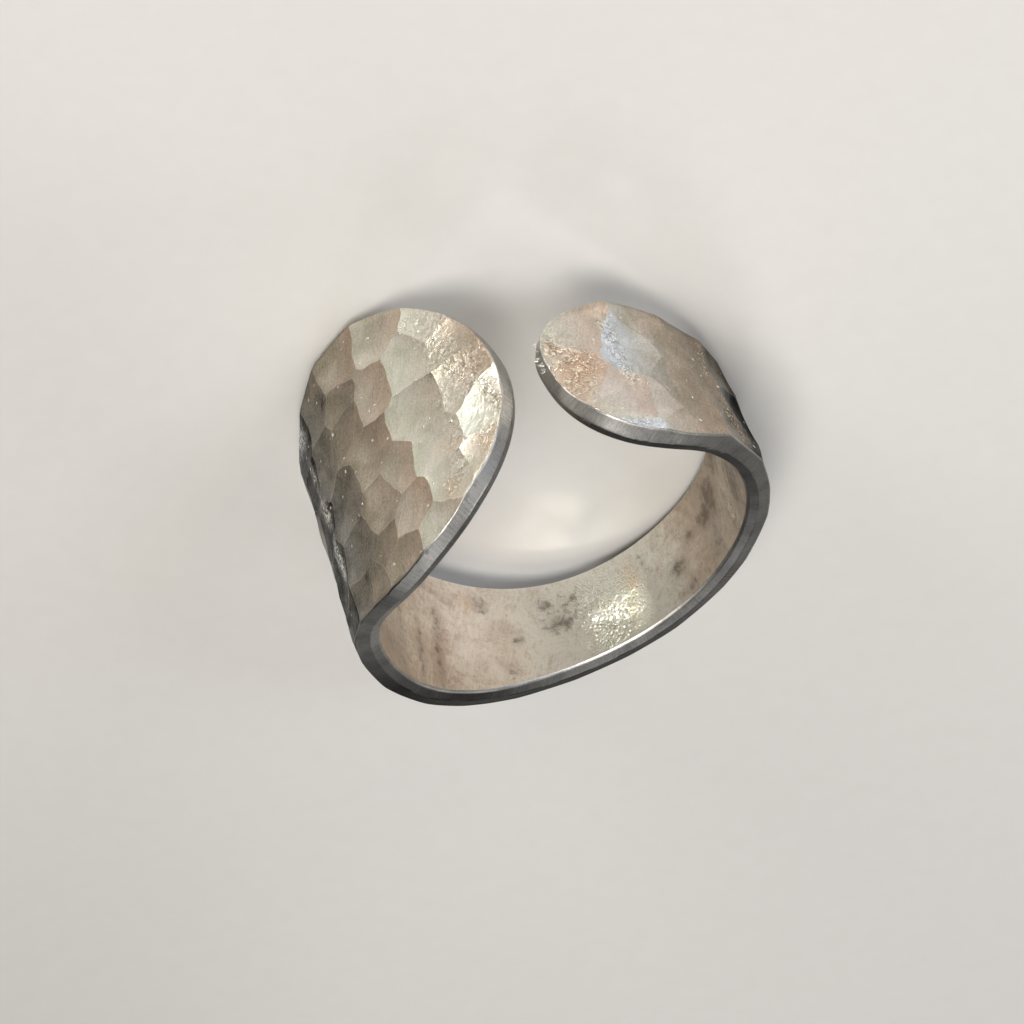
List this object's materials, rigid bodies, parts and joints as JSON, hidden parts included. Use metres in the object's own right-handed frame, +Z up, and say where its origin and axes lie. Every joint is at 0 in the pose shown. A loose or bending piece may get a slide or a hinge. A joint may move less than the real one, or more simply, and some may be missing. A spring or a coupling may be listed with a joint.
{
  "type": "hammered open ring",
  "caption": "Open finger ring bent from one strip of sheet silver, with two rounded paddle ends and a hammered outer face.",
  "frame": {"origin": "centre of the bounding box at its bottom, on the surface that the ring lies on", "axes": "+Z up, near the finger axis, which leans about 17 degrees because the ring lies on the edge of its large paddle and the edge of the band; -Y towards the gap between the paddles"},
  "size_m": [0.0214, 0.022, 0.0139],
  "materials": {
    "silver": "hammered satin silver, lightly tarnished, with darker cut edges"
  },
  "bodies": {
    "root": {"ring_band": "silver"}
  },
  "joints": []
}
